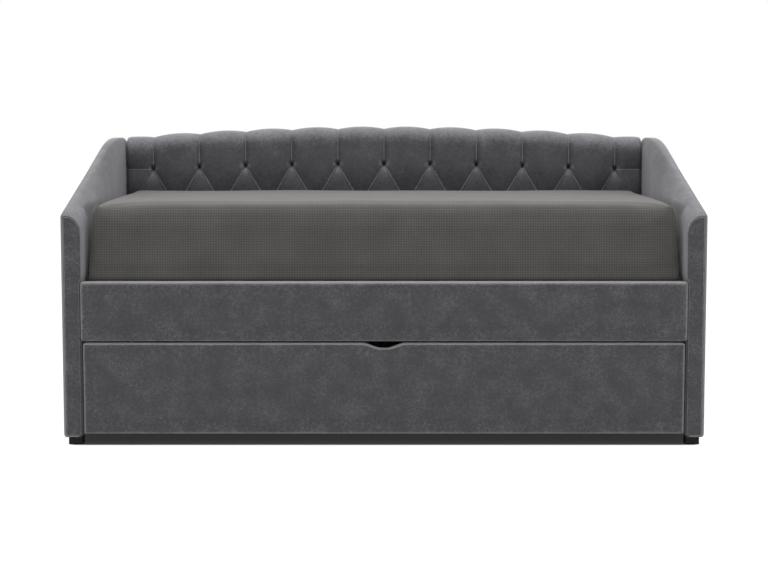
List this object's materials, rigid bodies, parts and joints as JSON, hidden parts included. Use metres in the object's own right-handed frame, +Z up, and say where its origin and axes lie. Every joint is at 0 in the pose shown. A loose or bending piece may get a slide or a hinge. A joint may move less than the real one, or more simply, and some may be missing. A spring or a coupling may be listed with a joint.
{
  "type": "upholstered daybed with trundle",
  "caption": "Velvet daybed with sloping arms, a diamond-tufted scalloped back, a mattress and a roll-out trundle with a hand notch.",
  "frame": {"origin": "middle of the bounding box's underside, on the floor", "axes": "+X along the bed to the right as seen from the front, -Y towards the front where the trundle rolls out, +Z up"},
  "size_m": [2.066, 1.146, 1.0187],
  "materials": {
    "velvet": "charcoal velvet with a soft nap",
    "waffle_cover": "warm grey waffle weave",
    "timber": "plain sawn pine",
    "plywood": "birch plywood",
    "webbing": "black woven webbing",
    "zinc_steel": "zinc plated",
    "black_foot": "matt black",
    "wheel_plastic": "matt black nylon"
  },
  "bodies": {
    "daybed": {"arm_frame_left": "timber", "arm_frame_right": "timber", "arm_cover_left": "velvet", "arm_cover_right": "velvet", "arm_facing_left": "velvet", "arm_facing_right": "velvet", "back_end_posts": "timber", "back_rails": "timber", "back_uprights": "timber", "back_cushion": "velvet", "back_rear_cover": "velvet", "front_rail_board": "plywood", "front_rail_cover": "velvet", "slat_ledger_front": "timber", "slat_ledger_rear": "timber", "upper_slats": "timber", "upper_slat_straps": "webbing", "corner_brackets": "zinc_steel", "corner_bolts": "zinc_steel", "corner_screws": "zinc_steel", "foot_front_left": "black_foot", "foot_front_right": "black_foot", "foot_rear_left": "black_foot", "foot_rear_right": "black_foot", "foot_studs": "zinc_steel"},
    "mattress": {"mattress": "waffle_cover"},
    "trundle": {"trundle_panel_board": "plywood", "trundle_panel_cover": "velvet", "trundle_ledger_front": "timber", "trundle_ledger_rear": "timber", "trundle_bearer_front": "timber", "trundle_bearer_rear": "timber", "trundle_side_left": "plywood", "trundle_side_right": "plywood", "trundle_back_board": "plywood", "trundle_slats": "timber", "trundle_slat_straps": "webbing", "trundle_angles": "zinc_steel", "trundle_screws": "zinc_steel", "caster_bracket_front_left": "zinc_steel", "caster_bracket_front_right": "zinc_steel", "caster_bracket_rear_left": "zinc_steel", "caster_bracket_rear_right": "zinc_steel", "caster_axle_front_left": "zinc_steel", "caster_axle_front_right": "zinc_steel", "caster_axle_rear_left": "zinc_steel", "caster_axle_rear_right": "zinc_steel"},
    "wheel_front_left": {"caster_wheel_front_left": "wheel_plastic"},
    "wheel_front_right": {"caster_wheel_front_right": "wheel_plastic"},
    "wheel_rear_left": {"caster_wheel_rear_left": "wheel_plastic"},
    "wheel_rear_right": {"caster_wheel_rear_right": "wheel_plastic"}
  },
  "joints": [
    {"name": "trundle_slide", "type": "slide", "parent": "daybed", "child": "trundle", "axis": [0, -1, 0], "range_m": [0, 1.04]},
    {"name": "mattress_lift", "type": "slide", "parent": "daybed", "child": "mattress", "axis": [0, 0, 1], "range_m": [0, 0.5]},
    {"name": "wheel_front_left_spin", "type": "hinge", "parent": "trundle", "child": "wheel_front_left", "pos_m": [-0.881, -0.313, 0.025], "axis": [1, 0, 0], "continuous": true},
    {"name": "wheel_front_right_spin", "type": "hinge", "parent": "trundle", "child": "wheel_front_right", "pos_m": [0.881, -0.313, 0.025], "axis": [1, 0, 0], "continuous": true},
    {"name": "wheel_rear_left_spin", "type": "hinge", "parent": "trundle", "child": "wheel_rear_left", "pos_m": [-0.881, 0.345, 0.025], "axis": [1, 0, 0], "continuous": true},
    {"name": "wheel_rear_right_spin", "type": "hinge", "parent": "trundle", "child": "wheel_rear_right", "pos_m": [0.881, 0.345, 0.025], "axis": [1, 0, 0], "continuous": true}
  ],
  "couplings": [
    {"joint": "wheel_front_left_spin", "follows": "trundle_slide", "rad_per_m": 40},
    {"joint": "wheel_front_right_spin", "follows": "trundle_slide", "rad_per_m": 40},
    {"joint": "wheel_rear_left_spin", "follows": "trundle_slide", "rad_per_m": 40},
    {"joint": "wheel_rear_right_spin", "follows": "trundle_slide", "rad_per_m": 40}
  ]
}
